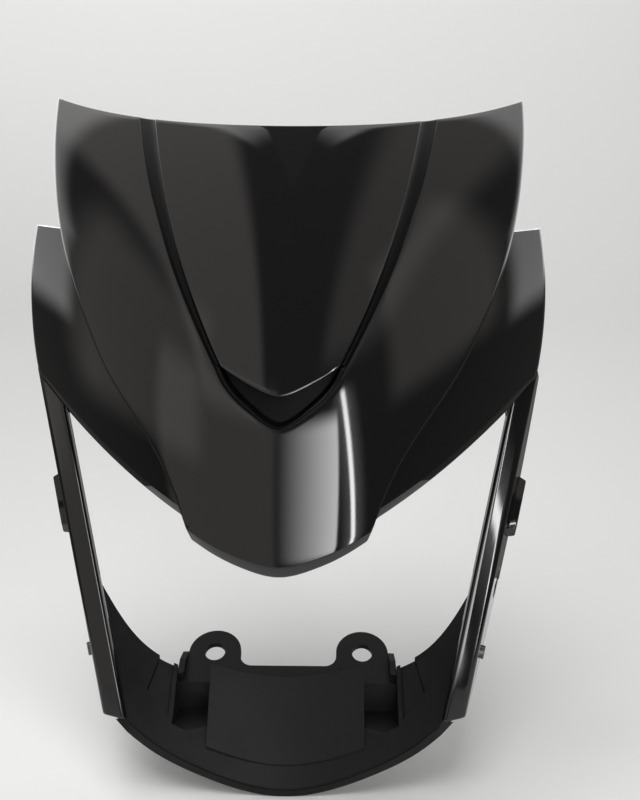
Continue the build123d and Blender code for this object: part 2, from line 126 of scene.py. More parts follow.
class CowlSkin(bpy.types.PropertyGroup):
    """Sizes of the front skin that visor, nose and wings share"""

    wall: length("Wall", 0.0025, "Thickness of the moulding")
    curl: number("Curl", 1.88022, "How fast the middle of the skin leans back, per metre")
    nose_z: length("Upright height", -0.090, "Height at which the middle of the skin stands upright")
    bow_low: number("Low bow", 4.80159, "Sideways curve at the bottom of the skin, per metre")
    bow_high: number("High bow", 0.65988, "Sideways curve at the top of the skin, per metre")
    low: length("Skin bottom", -0.110, "Lowest height of the skin")
    high: length("Skin top", 0.195, "Greatest height of the skin")
    soft: length("Crease softness", 0.0006, "How far a crease is rounded to either side")


class CowlVisor(bpy.types.PropertyGroup):
    """Sizes of the visor and its nose"""

    top_mid: length("Top middle", 0.1489, "Height of the top edge in the middle")
    top_rise: length("Corner rise", 0.022, "How much higher the top corners stand")
    top_flick: number("Corner flick", 0.284, "Share of that rise that comes late, near the corners")
    half: length("Half width", 0.149, "Half width at the top corners")
    temple_half: length("Temple half width", 0.1451, "Half width between the corners and the waist")
    temple_z: length("Temple height", 0.131, "Height of the temples")
    waist_half: length("Waist half width", 0.136, "Half width beside the wing tops")
    waist_z: length("Waist height", 0.089, "Height of the waist")
    brow_half: length("Brow half width", 0.104, "Half width where the edge turns towards the nose")
    brow_z: length("Brow height", 0.020, "Height of the brow")
    cheek_half: length("Cheek half width", 0.062, "Half width just above the nose corners")
    cheek_z: length("Cheek height", -0.037, "Height of the cheeks")
    nose_half: length("Nose half width", 0.0465, "Half width of the nose corners")
    corner_z: length("Nose corner height", -0.0725, "Height of the nose corners")
    chin_half: length("Chin half width", 0.022, "A point on the nose's lower edge")
    chin_z: length("Chin height", -0.084, "Height of that point")
    tip_z: length("Nose tip height", -0.0892, "Lowest height of the nose")
    bevel_height: length("Nose bevel height", 0.0065, "Height of the bevel along the nose's lower edge")
    bevel_depth: length("Nose bevel depth", 0.003, "Depth of that bevel")
    edge_bevel: length("Edge bevel", 0.0016, "Bevel of the side edges")
    rim: length("Rim depth", 0.0134, "Depth of the turned-in edge")


class CowlGroove(bpy.types.PropertyGroup):
    """Sizes of the two channels and of the pocket that joins them"""

    depth: length("Channel depth", 0.0022, "Depth of the two long channels")
    top_half: length("Channel inner edge", 0.080, "Inner edge of a channel at the top")
    top_width: length("Channel width", 0.011, "Width of a channel at the top")
    mid_half: length("Channel middle", 0.0565, "Inner edge of a channel half way down")
    mid_width: length("Channel middle width", 0.0072, "Width of a channel half way down")
    mid_z: length("Channel middle height", 0.074, "Height of the half-way point")
    foot_half: length("Channel foot", 0.0361, "Outer edge of a channel beside the pocket's end")
    foot_z: length("Channel foot height", 0.020, "Height of that point")
    edge_round: length("Edge rounding", 0.0006, "Rounding of the channels' edges")
    pocket_depth: length("Pocket depth", 0.010, "Depth of the pocket above the nose")
    pocket_half: length("Pocket half width", 0.0305, "Half width of the pocket")
    pocket_end_z: length("Pocket end height", 0.0185, "Height of the pocket's ends")
    lip_z: length("Lip height", 0.0053, "Height of the pocket's upper lip in the middle")
    lip_bend: length("Lip bend", 0.0065, "Radius of the bend in the middle of the lip")
    lip_round: length("Lip rounding", 0.0014, "Rounding of the upper lip")
    cheek_half: length("Pocket cheek", 0.0298, "A point on the pocket's lower edge, near its end")
    cheek_z: length("Pocket cheek height", 0.0087, "Height of that point")
    side_half: length("Pocket side", 0.0161, "A point on the pocket's lower edge, near its middle")
    side_z: length("Pocket side height", -0.004, "Height of that point")
    floor_z: length("Pocket floor height", -0.0119, "Height of the pocket's lower edge in the middle")
    shelf: length("Shelf", 0.002, "Width of the shelf between the pocket and the nose")


class CowlWings(bpy.types.PropertyGroup):
    """Sizes of the two wings"""

    step: length("Step", 0.008, "How far the wings lie behind the visor")
    rim: length("Rim depth", 0.012, "Depth of the turned-in edge")
    edge_bevel: length("Outer bevel", 0.002, "Bevel of the outer edges")
    low_bevel_height: length("Low bevel height", 0.005, "Height of the bevel along the lower edges")
    low_bevel_depth: length("Low bevel depth", 0.003, "Depth of that bevel")
    top_half: length("Top half width", 0.158, "Half width at the upper outer corners")
    top_z: length("Top height", 0.091, "Height of the upper outer corners")
    mid_half: length("Middle half width", 0.1615, "Greatest half width")
    mid_z: length("Middle height", 0.046, "Height of the greatest width")
    low_half: length("Low half width", 0.1565, "Half width at the lower outer corners")
    low_z: length("Low height", -0.002, "Height of the lower outer corners")
    brow_half: length("Brow half width", 0.112, "A point on the lower edge")
    brow_z: length("Brow height", -0.031, "Height of that point")
    tip_half: length("Tip half width", 0.046, "Inner end of the lower edge")
    tip_z: length("Tip height", -0.067, "Height of the inner end")


class CowlArms(bpy.types.PropertyGroup):
    """Sizes of the two arms beside the lamp"""

    top: place("Arm top", (0.156, 0.104, 0.0), "Upper end of an arm's outer edge")
    end: place("Arm end", (0.1115, 0.052, -0.2035), "Lower end of an arm's outer edge")
    flare: bpy.props.FloatProperty(
        name="Flare", description="Outward lean of the side wall", default=math.radians(20), subtype="ANGLE")
    start: length("Start", -0.004, "Where the arm starts along its edge")
    strip: length("Strip width", 0.0125, "Width of the front strip")
    slant: length("Tip slant", 0.006, "How much longer the strip is on its inner side")
    lip: length("Lip", 0.006, "Depth of the strip's turned-in inner edge")
    edge_round: length("Edge rounding", 0.002, "Rounding of the strip's edges")
    web_length: length("Web length", 0.040, "Web between a wing and the lip, along the arm")
    web_width: length("Web width", 0.010, "Width of that web at its upper end")
    depth_top: length("Depth at the wing", 0.030, "Depth of the side wall at the wing")
    depth_mid: length("Greatest depth", 0.066, "Greatest depth of the side wall")
    depth_end: length("Depth at the tip", 0.010, "Depth of the side wall at the tip")
    mid_at: length("Deepest place", 0.112, "Distance of the greatest depth from the wing")
    hole_at: length("Hole place", 0.135, "Distance of the side hole from the wing")
    hole_back: length("Hole setback", 0.036, "Distance of the side hole behind the strip")
    hole_radius: length("Hole radius", 0.003, "Radius of the side hole")
    recess_radius: length("Recess radius", 0.010, "Radius of the round recess")
    recess_depth: length("Recess depth", 0.005, "Depth of the round recess")
    blister_at: length("Blister place", 0.084, "Distance of the blister from the wing")
    blister_back: length("Blister setback", 0.047, "Distance of the blister behind the strip")
    blister_length: length("Blister length", 0.042, "Length of the blister along the arm")
    blister_width: length("Blister width", 0.014, "Width of the blister")
    blister_height: length("Blister height", 0.0049, "How far the blister stands out")


class CowlFinish(bpy.types.PropertyGroup):
    """Colours of the finishes and of the stage"""

    gloss: paint("Gloss black", (0.0045, 0.0045, 0.005), "Painted outside of the front moulding")
    dust: paint("Dust", (0.16, 0.155, 0.15), "Fine dust on the paint")
    raw: paint("Raw plastic", (0.022, 0.0225, 0.024), "Unpainted inside of the front moulding")
    # painted shade: this near black in the beds of the channels and the pocket stands in for the shade they
    # hold
    groove: paint("Groove black", (0.002, 0.002, 0.0022), "Beds of the channels and the pocket")
    matt: paint("Matt black", (0.0055, 0.0055, 0.006), "Moulded lower cover")
    scuff: paint("Scuffed black", (0.016, 0.016, 0.017), "Rubbed places of the lower cover")
    steel: paint("Dark steel", (0.12, 0.12, 0.125), "Plated screws")
    floor: paint("Floor", (0.78, 0.78, 0.77), "Floor and backdrop")


def smooth_step(share):
    """Cubic ease 3s^2 - 2s^3 of a share, held to 0 and 1 outside that range."""
    share = np.clip(share, 0, 1)
    return share * share * (3 - 2 * share)


def travelled(path):
    """Distance along a path at each of its points."""
    return np.concatenate([[0.0], np.cumsum(np.linalg.norm(np.diff(path, axis=0), axis=1))])


def smooth_curve(points, count, first=0, last=-1):
    """Cubic Hermite curve through points, sampled evenly by chord length between two of them.

    The slope at each point is that of the parabola through it and its neighbours.
    """
    points = np.asarray(points, float)
    chord = travelled(points)
    slope = np.gradient(points, chord, axis=0, edge_order=2)
    along = np.linspace(chord[first], chord[last], count)
    k = np.clip(np.searchsorted(chord, along, side="right") - 1, 0, len(points) - 2)
    span = (chord[k + 1] - chord[k])[:, None]
    f = (along - chord[k])[:, None] / span
    ends = (1 + 2 * f) * (1 - f) ** 2 * points[k] + f ** 2 * (3 - 2 * f) * points[k + 1]
    bends = f * (1 - f) ** 2 * slope[k] + f ** 2 * (f - 1) * slope[k + 1]
    return ends + span * bends


def joined(*runs):
    """Runs of points end to end, with each shared end kept once."""
    return np.concatenate([run[:-1] for run in runs[:-1]] + [runs[-1]])


def outward(path):
    """Unit normals in the XZ plane, to the right of the path's direction."""
    tangent = np.gradient(path, axis=0)
    normal = np.stack([tangent[:, 1], -tangent[:, 0]], axis=1)
    return normal / np.linalg.norm(normal, axis=1, keepdims=True)


def skin_points(skin, flat, back):
    """Points on the skin: y = curl (z - upright)^2 + bow(z) x^2 + back, with bow falling evenly upwards."""
    x = flat[..., 0]
    z = flat[..., 1]
    bow = skin.bow_low + (skin.bow_high - skin.bow_low) * (z - skin.low) / (skin.high - skin.low)
    return np.stack([x, skin.curl * (z - skin.nose_z) ** 2 + bow * x ** 2 + back, z], axis=-1)


def bevel_grid(skin, crease, across, height, depth, soft, back, rim):
    """Bevel that leaves the skin at a crease, then a wall that runs straight back to the rim.

    Both turns are parabolas that reach soft to either side.  height, depth and soft hold a value per row.
    """
    slope = np.maximum(np.hypot(height, depth), 1e-9)
    down = (height / slope)[:, None]
    fall = (depth / slope)[:, None]
    t = np.linspace(0, 1, TURN_POINTS)[None]
    ease = soft[:, None]
    wide = height[:, None]
    deep = depth[:, None]
    out = np.concatenate([
        -ease * (1 - t) ** 2 + down * ease * t ** 2,
        wide - down * ease * (1 - t) ** 2,
        np.repeat(wide, WALL_POINTS - 1, axis=1)], axis=1)
    wall = deep + ease + (rim - deep - ease) * np.linspace(0, 1, WALL_POINTS)[None, 1:]
    turn = deep - fall * ease * (1 - t) ** 2 + ease * t ** 2
    sunk = np.concatenate([fall * ease * t ** 2, turn, wall], axis=1)
    flat = crease[:, None] + across[:, None] * out[..., None]
    return skin_points(skin, flat, back + sunk)


def back_wall(skin, row, rim):
    """Wall behind an edge row: each of its points runs straight back to one depth behind the skin."""
    end = skin_points(skin, row[:, [0, 2]], rim)
    return row[None] + np.linspace(0, 1, WALL_POINTS)[:, None, None] * (end - row)[None]


def turned_back(skin, row, soft, rim):
    """Soft turn over a top edge: a parabola about the edge itself, then a wall straight back to the rim."""
    flat = row[:, [0, 2]]
    sunk = row[:, 1] - skin_points(skin, flat, 0)[:, 1]
    corner = skin_points(skin, flat + [0.0, soft], sunk)
    behind = corner + [0.0, soft, 0.0]
    t = np.linspace(0, 1, TURN_POINTS)[:, None, None]
    turn = (1 - t) ** 2 * row + 2 * t * (1 - t) * corner + t ** 2 * behind
    end = skin_points(skin, corner[:, [0, 2]], rim)
    wall = behind + np.linspace(0, 1, WALL_POINTS)[1:, None, None] * (end - behind)
    return np.concatenate([turn, wall])


def corner_patch(top):
    """Narrow patch under the outer end of a turned top edge, down to the height where the turn starts."""
    line = top[:, -1]
    foot = line.copy()
    foot[:, 2] = line[0, 2]
    return np.stack([line, foot])


def mirrored(grids):
    """The grids and their mirror images, with the order of rows turned so that faces keep pointing out."""
    return grids + [(grid * [-1, 1, 1])[::-1] for grid in grids]


def facing(grid, way):
    """The grid with its rows in the order that makes its faces point the given way on the whole."""
    across = grid[1:, :-1] - grid[:-1, :-1]
    along = grid[:-1, 1:] - grid[:-1, :-1]
    total = np.cross(across, along).sum(axis=(0, 1))
    return grid if total @ np.asarray(way, float) > 0 else grid[::-1]


def grid_faces(rows, columns, first):
    """Four corner numbers for each cell of a grid of points."""
    number_of = first + np.arange(rows * columns).reshape(rows, columns)
    corners = (number_of[:-1, :-1], number_of[1:, :-1], number_of[1:, 1:], number_of[:-1, 1:])
    return np.stack(corners, axis=-1).reshape(-1, 4)


def make_mesh(name, grids, shift, finishes):
    """One mesh of all the grids, moved by shift, shaded smooth, with the number of each grid's finish."""
    points = []
    faces = []
    first = 0
    for grid in grids:
        points.append(grid.reshape(-1, 3))
        faces.append(grid_faces(*grid.shape[:2], first))
        first += grid.shape[0] * grid.shape[1]
    mesh = bpy.data.meshes.new(name)
    mesh.from_pydata(np.concatenate(points) + shift, [], np.concatenate(faces).tolist())
    mesh.polygons.foreach_set("use_smooth", np.ones(len(mesh.polygons), bool))
    counts = [len(cells) for cells in faces]
    mesh.polygons.foreach_set("material_index", np.repeat(np.array(finishes, np.int32), counts))
    return mesh


def make_piece(name, grids, looks, node, finishes):
    """Joins grids into one welded mesh object that stands for a node of the frame."""
    mesh = make_mesh(name, grids, DRAWING_ZERO, finishes)
    for look in looks:
        mesh.materials.append(finish(look))
    work = bmesh.new()
    work.from_mesh(mesh)
    bmesh.ops.remove_doubles(work, verts=work.verts, dist=WELD)
    bmesh.ops.dissolve_degenerate(work, edges=work.edges, dist=WELD / 4)
    work.to_mesh(mesh)
    work.free()
    mesh.set_sharp_from_angle(angle=SHARP)
    piece = bpy.data.objects.new(name, mesh)
    bpy.context.scene.collection.objects.link(piece)
    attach(piece, BODY)
    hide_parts(node)
    return piece


def thicken(piece, wall):
    """Gives an outer surface its wall, grown inwards, with the second material on the inside and the rim."""
    shell = piece.modifiers.new("wall", "SOLIDIFY")
    shell.thickness = wall
    shell.offset = -1.0
    shell.use_even_offset = False
    shell.material_offset = 1
    shell.material_offset_rim = 1


def new_group(name, inputs, outputs):
    """An empty shader node group with number sockets, and its entry and exit."""
    group = bpy.data.node_groups.new(name, "ShaderNodeTree")
    for label, value in inputs:
        socket = group.interface.new_socket(label, in_out="INPUT", socket_type="NodeSocketFloat")
        socket.default_value = value
    for label in outputs:
        group.interface.new_socket(label, in_out="OUTPUT", socket_type="NodeSocketFloat")
    return group, group.nodes.new("NodeGroupInput"), group.nodes.new("NodeGroupOutput")


def group_noise(group, detail, roughness):
    """A noise over object coordinates in a group."""
    where = group.nodes.new("ShaderNodeTexCoord")
    noise = group.nodes.new("ShaderNodeTexNoise")
    noise.inputs["Detail"].default_value = detail
    noise.inputs["Roughness"].default_value = roughness
    group.links.new(where.outputs["Object"], noise.inputs["Vector"])
    return noise


def group_math(group, operation, values):
    """A math node in a group, fed by outputs or plain numbers."""
    node = group.nodes.new("ShaderNodeMath")
    node.operation = operation
    for socket, value in zip(node.inputs, values):
        if isinstance(value, float):
            socket.default_value = value
        else:
            group.links.new(value, socket)
    return node.outputs[0]


def grain_group():
    """Node group for mouldings and paint: fine pits as a height, and a slow mottle about the roughness."""
    name = "moulded_grain"
    if name in bpy.data.node_groups:
        return bpy.data.node_groups[name]
    inputs = (("Grain scale", 2500.0), ("Roughness", 0.5), ("Mottle", 0.1))
    group, entry, leave = new_group(name, inputs, ("Height", "Roughness"))
    pits = group_noise(group, 2.0, 0.5)
    mottle = group_noise(group, 5.0, 0.5)
    mottle.inputs["Scale"].default_value = 45.0
    centred = group_math(group, "SUBTRACT", (mottle.outputs["Fac"], 0.5))
    scaled = group_math(group, "MULTIPLY", (centred, entry.outputs["Mottle"]))
    added = group_math(group, "ADD", (scaled, entry.outputs["Roughness"]))
    group.links.new(entry.outputs["Grain scale"], pits.inputs["Scale"])
    group.links.new(pits.outputs["Fac"], leave.inputs["Height"])
    group.links.new(added, leave.inputs["Roughness"])
    return group


def marks_group():
    """Node group for dust and rub marks: the peaks of a rough noise as a mask, up to a given strength."""
    name = "surface_marks"
    if name in bpy.data.node_groups:
        return bpy.data.node_groups[name]
    inputs = (("Mark scale", 300.0), ("Start", 0.6), ("Full", 0.75), ("Strength", 0.5))
    group, entry, leave = new_group(name, inputs, ("Mask",))
    noise = group_noise(group, 8.0, 0.65)
    peaks = group.nodes.new("ShaderNodeMapRange")
    group.links.new(entry.outputs["Mark scale"], noise.inputs["Scale"])
    group.links.new(noise.outputs["Fac"], peaks.inputs["Value"])
    for label, end in (("Start", "From Min"), ("Full", "From Max"), ("Strength", "To Max")):
        group.links.new(entry.outputs[label], peaks.inputs[end])
    group.links.new(peaks.outputs["Result"], leave.inputs["Mask"])
    return group


def finish(name):
    """Principled material of the table: a base colour with marks, a mottled roughness and a fine grain."""
    if name in bpy.data.materials:
        return bpy.data.materials[name]
    look = FINISHES[name]
    colours = bpy.context.scene.cowl_finish
    material = bpy.data.materials.new(name)
    material.use_nodes = True
    nodes = material.node_tree.nodes
    links = material.node_tree.links
    shader = nodes["Principled BSDF"]
    shader.inputs["Specular IOR Level"].default_value = look.shine
    shader.inputs["Metallic"].default_value = look.metal
    marked = nodes.new("ShaderNodeGroup")
    marked.node_tree = marks_group()
    for label, value in zip(("Mark scale", "Start", "Full", "Strength"), look.marks):
        marked.inputs[label].default_value = value
    blend = nodes.new("ShaderNodeMix")
    blend.data_type = "RGBA"
    blend.inputs["A"].default_value = (*getattr(colours, look.base), 1.0)
    blend.inputs["B"].default_value = (*getattr(colours, look.mark), 1.0)
    links.new(marked.outputs["Mask"], blend.inputs["Factor"])
    links.new(blend.outputs["Result"], shader.inputs["Base Color"])
    grain = nodes.new("ShaderNodeGroup")
    grain.node_tree = grain_group()
    for label, value in (("Grain scale", look.grain), ("Roughness", look.roughness), ("Mottle", look.mottle)):
        grain.inputs[label].default_value = value
    links.new(grain.outputs["Roughness"], shader.inputs["Roughness"])
    lift = nodes.new("ShaderNodeBump")
    lift.inputs["Strength"].default_value = look.bump
    lift.inputs["Distance"].default_value = 0.0002
    links.new(grain.outputs["Height"], lift.inputs["Height"])
    links.new(lift.outputs["Normal"], shader.inputs["Normal"])
    return material


def top_height(v, soft, x):
    """Height where the top edge starts to turn: top + rise ((1 - flick) s + flick s^2), s = (x / half)^2."""
    s = (x / v.half) ** 2
    return v.top_mid - soft + v.top_rise * ((1 - v.top_flick) * s + v.top_flick * s ** 2)


def lip_share(g, u):
    """Rise of the pocket's lip over its half width, as shares: a hyperbola, straight beyond its bend."""
    reach = np.hypot(u * g.pocket_half, g.lip_bend) - g.lip_bend
    return reach / (math.hypot(g.pocket_half, g.lip_bend) - g.lip_bend)


def groove_paths(v, g, soft):
    """Inner and outer edge of the right half of the groove, from the pocket's middle up to the top edge."""
    u = np.linspace(0, 1, POCKET_CELLS + 1)
    lip_z = g.lip_z + (g.pocket_end_z - g.lip_z) * lip_share(g, u)
    lip = np.stack([u * g.pocket_half, lip_z], axis=1)
    spread = 0.1 * g.top_half
    over = 1.3 * v.top_mid
    outer_top = g.top_half + g.top_width
    inner = [
        (g.pocket_half, g.pocket_end_z), (g.mid_half, g.mid_z),
        (g.top_half, top_height(v, soft, g.top_half)), (g.top_half + spread, over)]
    outer = [
        (-g.side_half, g.side_z), (0, g.floor_z), (g.side_half, g.side_z), (g.cheek_half, g.cheek_z),
        (g.foot_half, g.foot_z), (g.mid_half + g.mid_width, g.mid_z),
        (outer_top, top_height(v, soft, outer_top)), (outer_top + spread, over)]
    groove_in = joined(lip, smooth_curve(inner, CHANNEL_CELLS + 1, 0, 2))
    low = smooth_curve(outer, POCKET_CELLS + 1, 1, 4)
    high = smooth_curve(outer, CHANNEL_CELLS + 1, 4, 6)
    return groove_in, joined(low, high)


def visor_side(v, soft):
    """Points of the visor's side edge, from the nose corner up to the top corner."""
    return [
        (v.nose_half, v.corner_z), (v.cheek_half, v.cheek_z), (v.brow_half, v.brow_z),
        (v.waist_half, v.waist_z), (v.temple_half, v.temple_z), (v.half, top_height(v, soft, v.half))]


def visor_outline(v, soft):
    """Right half of the nose's lower edge, of the crease above it, and of the side edge above that crease.

    The crease is the lower edge raised by the bevel's height and stretched until it meets the side edge.
    """
    nose = [(-v.chin_half, v.chin_z), (0, v.tip_z), (v.chin_half, v.chin_z), (v.nose_half, v.corner_z)]
    lower = smooth_curve(nose, NOSE_CELLS + 1, 1, 3)
    side = smooth_curve(visor_side(v, soft), 600)
    gone = travelled(side)
    start = np.interp(v.corner_z + v.bevel_height, side[:, 1], gone)
    along = np.linspace(start, gone[-1], POCKET_CELLS + CHANNEL_CELLS - NOSE_CELLS + 1)
    edge = np.stack([np.interp(along, gone, side[:, 0]), np.interp(along, gone, side[:, 1])], axis=1)
    crease = np.stack([lower[:, 0] * edge[0, 0] / v.nose_half, lower[:, 1] + v.bevel_height], axis=1)
    return lower, crease, edge


def centre_panel(skin, v, g, groove_in):
    """Panel between the channels, row by row from the pocket's lip to the top edge.

    Across a row, z rises from the middle to the channel in the lip's way at first and the top edge's at last.
    """
    side = groove_in[POCKET_CELLS:]
    u = np.linspace(0, 1, POCKET_CELLS + 1)[None]
    rise = ((side[:, 1] - side[0, 1]) / (side[-1, 1] - side[0, 1]))[:, None]
    middle = g.lip_z + (top_height(v, skin.soft, 0.0) - g.lip_z) * rise
    top_z = top_height(v, skin.soft, u * g.top_half)
    top_share = (top_z - top_z[:, :1]) / (top_z[:, -1:] - top_z[:, :1])
    shape = (1 - rise) * lip_share(g, u) + rise * top_share
    z = middle + (side[:, 1:] - middle) * shape
    return skin_points(skin, np.stack([u * side[:, :1], z], axis=-1), 0)


def channel_section(g, width):
    """Section of a channel: rounded edges and a floor that bows down between them, for each row's width."""
    r = g.edge_round
    turn = np.linspace(0, math.pi / 2, TURN_POINTS)[None]
    q = np.linspace(0, 1, 14)[None, 1:-1]
    one = np.ones_like(width)
    near = r * np.sin(turn) * one
    across = np.concatenate([near, r + (width - 2 * r) * q, width - near[:, ::-1]], axis=1)
    bowl = r + (g.depth - r) * (1 - np.abs(2 * q - 1) ** 2.5)
    sunk = np.concatenate([r * (1 - np.cos(turn)), bowl, r * (1 - np.cos(turn[:, ::-1]))], axis=1)
    return across, sunk * one


def pocket_section(g, width, shelf):
    """Section of the pocket: rounded lip, wall, deep floor, wall, shelf and rounded edge, for each row."""
    lip = np.minimum(g.lip_round, 0.2 * width)
    far = np.minimum(g.edge_round, 0.35 * shelf)
    deep = width - shelf
    f = np.minimum(0.001, 0.12 * deep)
    floor = g.pocket_depth
    turn = np.linspace(0, math.pi / 2, TURN_POINTS)[None]
    one = np.ones_like(width)
    across = np.concatenate([
        lip * np.sin(turn), lip + 0.1 * f, lip + 0.2 * f, lip + 0.4 * f, lip + f, 0.5 * (lip + deep),
        deep - f, deep - 0.4 * f, deep - 0.2 * f, deep - 0.1 * f, deep + 0.1 * shelf, deep + 0.4 * shelf,
        width - 1.3 * far, width - far * np.sin(turn[:, ::-1])], axis=1)
    sunk = np.concatenate([
        lip * (1 - np.cos(turn)), 0.35 * floor * one, 0.7 * floor * one, floor - 0.6 * f, floor * one,
        floor * one, floor * one, floor - 0.6 * f, 0.5 * (floor + g.depth) * one, g.depth + 0.3 * f,
        g.depth * one, g.depth * one, g.depth * one, far * (1 - np.cos(turn[:, ::-1]))], axis=1)
    return across, sunk


def groove_strip(skin, g, groove_in, groove_out):
    """The groove's section carried along its two edges: the pocket's at first, then a channel's.

    The two sections blend over the last few rows of the pocket, which closes its end.
    """
    share = np.concatenate([np.linspace(0, 1, POCKET_CELLS + 1), np.ones(CHANNEL_CELLS)])[:, None]
    span = groove_out - groove_in
    width = np.linalg.norm(span, axis=1, keepdims=True)
    shelf = g.shelf * np.interp(share, [0, 0.4, 0.8, 1.0], [0.3, 1.0, 1.2, 1.6])
    pocket_across, pocket_sunk = pocket_section(g, width, shelf)
    channel_across, channel_sunk = channel_section(g, width)
    deep = smooth_step((1 - share) / END_SHARE)
    across = deep * pocket_across + (1 - deep) * channel_across
    sunk = deep * pocket_sunk + (1 - deep) * channel_sunk
    flat = groove_in[:, None] + (span / width)[:, None] * across[..., None]
    return skin_points(skin, flat, sunk)


def side_profile(skin, v, edge):
    """Direction, height and softness of the side edge's bevel, for each row.

    The bevel starts from nothing at the nose's crease.  At the top it runs along the top edge's own slope.
    """
    rows = np.arange(len(edge))
    height = v.edge_bevel * smooth_step(rows / 6)
    slope = v.top_rise * (2 * (1 - v.top_flick) + 4 * v.top_flick) / v.half
    along_top = np.array([1.0, slope]) / math.hypot(1.0, slope)
    last = smooth_step((rows - rows[-1] + 10) / 10)[:, None]
    across = (1 - last) * outward(edge) + last * along_top
    across /= np.linalg.norm(across, axis=1, keepdims=True)
    return across, height, np.minimum(skin.soft, 0.4 * height)


def outer_panel(skin, v, groove_out, outline):
    """Panel from the groove's outer edge straight across to the visor's outline, bent to the top edge."""
    u = np.linspace(0, 1, PANEL_CELLS + 1)[None, :, None]
    flat = groove_out[:, None] * (1 - u) + outline[:, None] * u
    near_top = smooth_step((np.arange(len(flat)) - len(flat) + 31) / 30)[:, None]
    bend = top_height(v, skin.soft, flat[-1, :, 0]) - flat[-1, :, 1]
    flat[..., 1] += near_top * bend[None]
    return skin_points(skin, flat, 0)


def visor_grids(skin, v, g):
    """Right half of the visor: groove bed, centre panel, groove edges, outer panel, nose bevel, side and top.

    The groove's bed comes first, because it has a finish of its own: a darker, duller black painted in as the
    shade of the channels and the pocket.
    """
    groove_in, groove_out = groove_paths(v, g, skin.soft)
    lower, crease, edge = visor_outline(v, skin.soft)
    down = lower - crease
    nose_height = np.linalg.norm(down, axis=1)
    down /= nose_height[:, None]
    nose_soft = skin.soft * smooth_step((NOSE_CELLS - np.arange(NOSE_CELLS + 1)) / 4)
    nose_depth = np.full(NOSE_CELLS + 1, v.bevel_depth)
    nose = bevel_grid(skin, crease, down, nose_height, nose_depth, nose_soft, 0.0, v.rim)
    across, height, soft = side_profile(skin, v, edge)
    side = bevel_grid(skin, edge - across * height[:, None], across, height, height, soft, 0.0, v.rim)
    outline = joined(nose[:, 0][:, [0, 2]], side[:, 0][:, [0, 2]])
    centre = centre_panel(skin, v, g, groove_in)
    groove = groove_strip(skin, g, groove_in, groove_out)
    outer = outer_panel(skin, v, groove_out, outline)
    top_row = np.concatenate([centre[-1], groove[-1, 1:], outer[-1, 1:], side[-1, 1:EDGE_POINTS]])
    top = turned_back(skin, top_row, skin.soft, v.rim)
    lip = groove[:, :TURN_POINTS]
    bed = groove[:, TURN_POINTS - 1:1 - TURN_POINTS]
    bank = groove[:, -TURN_POINTS:]
    grids = [facing(grid, (0, -1, 0)) for grid in (bed, centre, lip, bank, outer, nose, side)]
    grids.append(facing(top, (0, 0, 1)))
    grids.append(facing(corner_patch(top), (1, 0, 0)))
    grids.append(facing(back_wall(skin, nose[-1, :EDGE_POINTS], v.rim), (1, 0, 0)))
    return grids


class COWL_OT_visor(bpy.types.Operator):
    """Builds the visor with its centre panel, groove, nose and rim"""

    bl_idname = "cowl.visor"
    bl_label = "Visor"

    def execute(self, context):
        scene = context.scene
        grids = visor_grids(scene.cowl_skin, scene.cowl_visor, scene.cowl_groove)
        looks = ("gloss_black", "raw_plastic", "groove_painted_shade")
        # the groove's bed takes the third look, the painted shade of the recesses
        finishes = [2] + [0] * (len(grids) - 1)
        piece = make_piece("visor", mirrored(grids), looks, "front_cowl", finishes * 2)
        thicken(piece, scene.cowl_skin.wall)
        return {"FINISHED"}


def wing_grids(skin, v, w):
    """A wing: rows straight across from behind the visor's side edge to the wing's own bevelled outline."""
    lower_cells = 60
    outer_cells = 40
    soft = skin.soft
    low = (w.low_half, w.low_z)
    lower = smooth_curve([(w.tip_half, w.tip_z), (w.brow_half, w.brow_z), low], lower_cells + 1)
    outer = smooth_curve([low, (w.mid_half, w.mid_z), (w.top_half, w.top_z - soft)], outer_cells + 1)
    path = joined(lower, outer)
    behind = smooth_curve(visor_side(v, soft), 400)
    turn_z = 0.3 * w.top_z
    root_top = w.top_z - soft - skin.wall
    z = joined(np.linspace(w.tip_z, turn_z, lower_cells + 1), np.linspace(turn_z, root_top, outer_cells + 1))
    root = np.stack([np.interp(z, behind[:, 1], behind[:, 0]) - 0.4 * skin.wall, z], axis=1)
    rows = np.arange(len(path))
    upper = smooth_step((rows - lower_cells + 5) / 10)
    start = np.clip(rows / 4, 0.05, 1)
    height = start * (w.low_bevel_height + (w.edge_bevel - w.low_bevel_height) * upper)
    depth = start * (w.low_bevel_depth + (w.edge_bevel - w.low_bevel_depth) * upper)
    across = outward(path)
    ease = np.minimum(soft, 0.3 * height)
    rim = bevel_grid(skin, path - across * height[:, None], across, height, depth, ease, w.step, w.rim)
    u = np.linspace(0, 1, 25)[None, :, None]
    end = rim[:, 0][:, [0, 2]]
    panel = skin_points(skin, root[:, None] * (1 - u) + end[:, None] * u, w.step)
    top_row = np.concatenate([panel[-1], rim[-1, 1:EDGE_POINTS]])
    top = turned_back(skin, top_row, soft, w.step + w.rim)
    grids = [facing(panel, (0, -1, 0)), facing(rim, (0, -1, 0)), facing(top, (0, 0, 1))]
    grids.append(facing(corner_patch(top), (1, 0, 0)))
    return grids


class COWL_OT_wings(bpy.types.Operator):
    """Builds both wings, which lie a step behind the visor"""

    bl_idname = "cowl.wings"
    bl_label = "Wings"

    def execute(self, context):
        scene = context.scene
        grids = mirrored(wing_grids(scene.cowl_skin, scene.cowl_visor, scene.cowl_wings))
        looks = ("gloss_black", "raw_plastic")
        piece = make_piece("wings", grids, looks, "front_cowl", [0] * len(grids))
        thicken(piece, scene.cowl_skin.wall)
        return {"FINISHED"}


